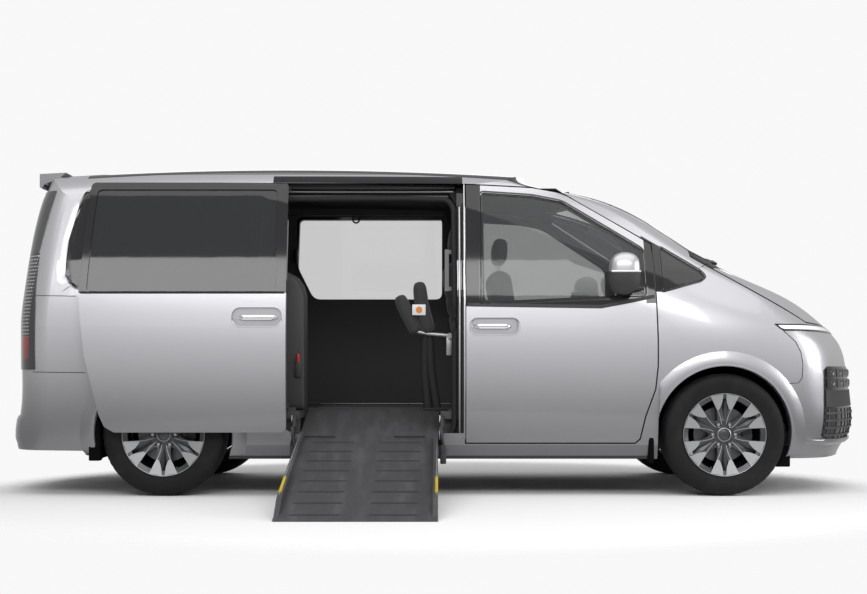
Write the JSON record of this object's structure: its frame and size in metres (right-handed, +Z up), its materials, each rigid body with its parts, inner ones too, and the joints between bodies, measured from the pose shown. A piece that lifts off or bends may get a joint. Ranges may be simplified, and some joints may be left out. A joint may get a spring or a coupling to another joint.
{
  "type": "wheelchair accessible van",
  "caption": "Silver family van with an open sliding side door and a folding ramp for wheelchair access, hinged doors, tailgate and bonnet, and steering road wheels.",
  "frame": {"origin": "middle of the whole box on the ground, between the ramp's ground end and the far mirror's tip", "axes": "+X to the van's front, +Y to its left side, +Z up; the ramp lies towards -Y"},
  "size_m": [5.2552, 3.4994, 1.9899],
  "materials": {
    "silver_paint": "metallic gloss",
    "window_glass": "tinted",
    "privacy_glass": "dark tinted",
    "tyre_rubber": "matte",
    "alloy": "machined and grey lacquer",
    "black_plastic": "grained",
    "gloss_black": "gloss",
    "lamp_lens": "clear lens",
    "tail_lens": "dark lens with red",
    "dark_steel": "dull",
    "floor_vinyl": "ribbed",
    "ramp_aluminium": "satin, ribbed",
    "seat_cloth": "black cloth",
    "trim_grey": "grained",
    "rail_steel": "brushed"
  },
  "bodies": {
    "root": {"body_side_left": "silver_paint", "body_side_right": "silver_paint", "bridging_plate": "ramp_aluminium", "cowl_panel": "black_plastic", "dashboard": "black_plastic", "door_tracks": "dark_steel", "driver_seat": "seat_cloth", "engine_block": "dark_steel", "fixed_side_glass": "privacy_glass", "floor_anchors": "rail_steel", "floor_pan": "floor_vinyl", "front_bumper": "silver_paint", "front_fenders": "silver_paint", "front_grille": "gloss_black", "front_lamps": "lamp_lens", "front_subframe": "dark_steel", "front_wheel_liners": "black_plastic", "grab_handle": "trim_grey", "passenger_seat": "seat_cloth", "rear_axle": "dark_steel", "rear_bench": "seat_cloth", "rear_bumper": "silver_paint", "rear_floor": "floor_vinyl", "rear_wheel_liners": "black_plastic", "roof_panel": "silver_paint", "sliding_door_arms": "rail_steel", "sliding_door_glass_left": "privacy_glass", "sliding_door_glass_right": "privacy_glass", "sliding_door_left": "silver_paint", "sliding_door_right": "silver_paint", "tail_lamps": "tail_lens", "windscreen": "window_glass"},
    "front_door_right": {"front_door_right": "silver_paint", "front_door_glass_right": "window_glass", "mirror_right": "silver_paint"},
    "front_door_left": {"front_door_left": "silver_paint", "front_door_glass_left": "window_glass", "mirror_left": "silver_paint"},
    "tailgate": {"tailgate": "silver_paint", "rear_window": "privacy_glass"},
    "bonnet": {"bonnet": "silver_paint"},
    "ramp": {"ramp": "ramp_aluminium"},
    "steering_wheel": {"steering_wheel": "black_plastic"},
    "knuckle_right": {"steering_knuckle_right": "dark_steel"},
    "knuckle_left": {"steering_knuckle_left": "dark_steel"},
    "wheel_front_right": {"tyre_front_right": "tyre_rubber", "rim_front_right": "alloy"},
    "wheel_front_left": {"tyre_front_left": "tyre_rubber", "rim_front_left": "alloy"},
    "wheel_rear_right": {"tyre_rear_right": "tyre_rubber", "rim_rear_right": "alloy"},
    "wheel_rear_left": {"tyre_rear_left": "tyre_rubber", "rim_rear_left": "alloy"}
  },
  "joints": [
    {"name": "steer_right", "type": "hinge", "parent": "root", "child": "knuckle_right", "pos_m": [1.6715, -0.204, 0.358], "axis": [0, 0, 1], "range_deg": [-34, 34]},
    {"name": "spin_front_right", "type": "hinge", "parent": "knuckle_right", "child": "wheel_front_right", "pos_m": [1.6715, -0.369, 0.358], "axis": [0, 1, 0], "continuous": true},
    {"name": "spin_rear_right", "type": "hinge", "parent": "root", "child": "wheel_rear_right", "pos_m": [-1.6015, -0.369, 0.358], "axis": [0, 1, 0], "continuous": true},
    {"name": "steer_left", "type": "hinge", "parent": "root", "child": "knuckle_left", "pos_m": [1.6715, 1.422, 0.358], "axis": [0, 0, 1], "range_deg": [-34, 34]},
    {"name": "spin_front_left", "type": "hinge", "parent": "knuckle_left", "child": "wheel_front_left", "pos_m": [1.6715, 1.587, 0.358], "axis": [0, 1, 0], "continuous": true},
    {"name": "spin_rear_left", "type": "hinge", "parent": "root", "child": "wheel_rear_left", "pos_m": [-1.6015, 1.587, 0.358], "axis": [0, 1, 0], "continuous": true},
    {"name": "steering_turn", "type": "hinge", "parent": "root", "child": "steering_wheel", "pos_m": [1.08, 0.994, 1.06], "axis": [0.9063, 0, -0.4226], "range_deg": [-520, 520]},
    {"name": "front_door_right_hinge", "type": "hinge", "parent": "root", "child": "front_door_right", "pos_m": [1.28, -0.393, 0.78], "axis": [0, 0.0523, 0.9986], "range_deg": [0, 65]},
    {"name": "front_door_left_hinge", "type": "hinge", "parent": "root", "child": "front_door_left", "pos_m": [1.28, 1.611, 0.78], "axis": [0, 0.0523, -0.9986], "range_deg": [0, 65]},
    {"name": "tailgate_hinge", "type": "hinge", "parent": "root", "child": "tailgate", "pos_m": [-2.234, 0.609, 1.952], "axis": [0, 1, 0], "range_deg": [0, 85]},
    {"name": "bonnet_hinge", "type": "hinge", "parent": "root", "child": "bonnet", "pos_m": [1.578, 0.609, 1.402], "axis": [0, -1, 0], "range_deg": [0, 50]},
    {"name": "ramp_hinge", "type": "hinge", "parent": "root", "child": "ramp", "pos_m": [-0.402, -0.321, 0.348], "axis": [-1, 0, 0], "range_deg": [0, 110]}
  ],
  "couplings": [
    {"joint": "steer_left", "follows": "steer_right", "ratio": 1},
    {"joint": "steering_turn", "follows": "steer_right", "ratio": -15}
  ]
}
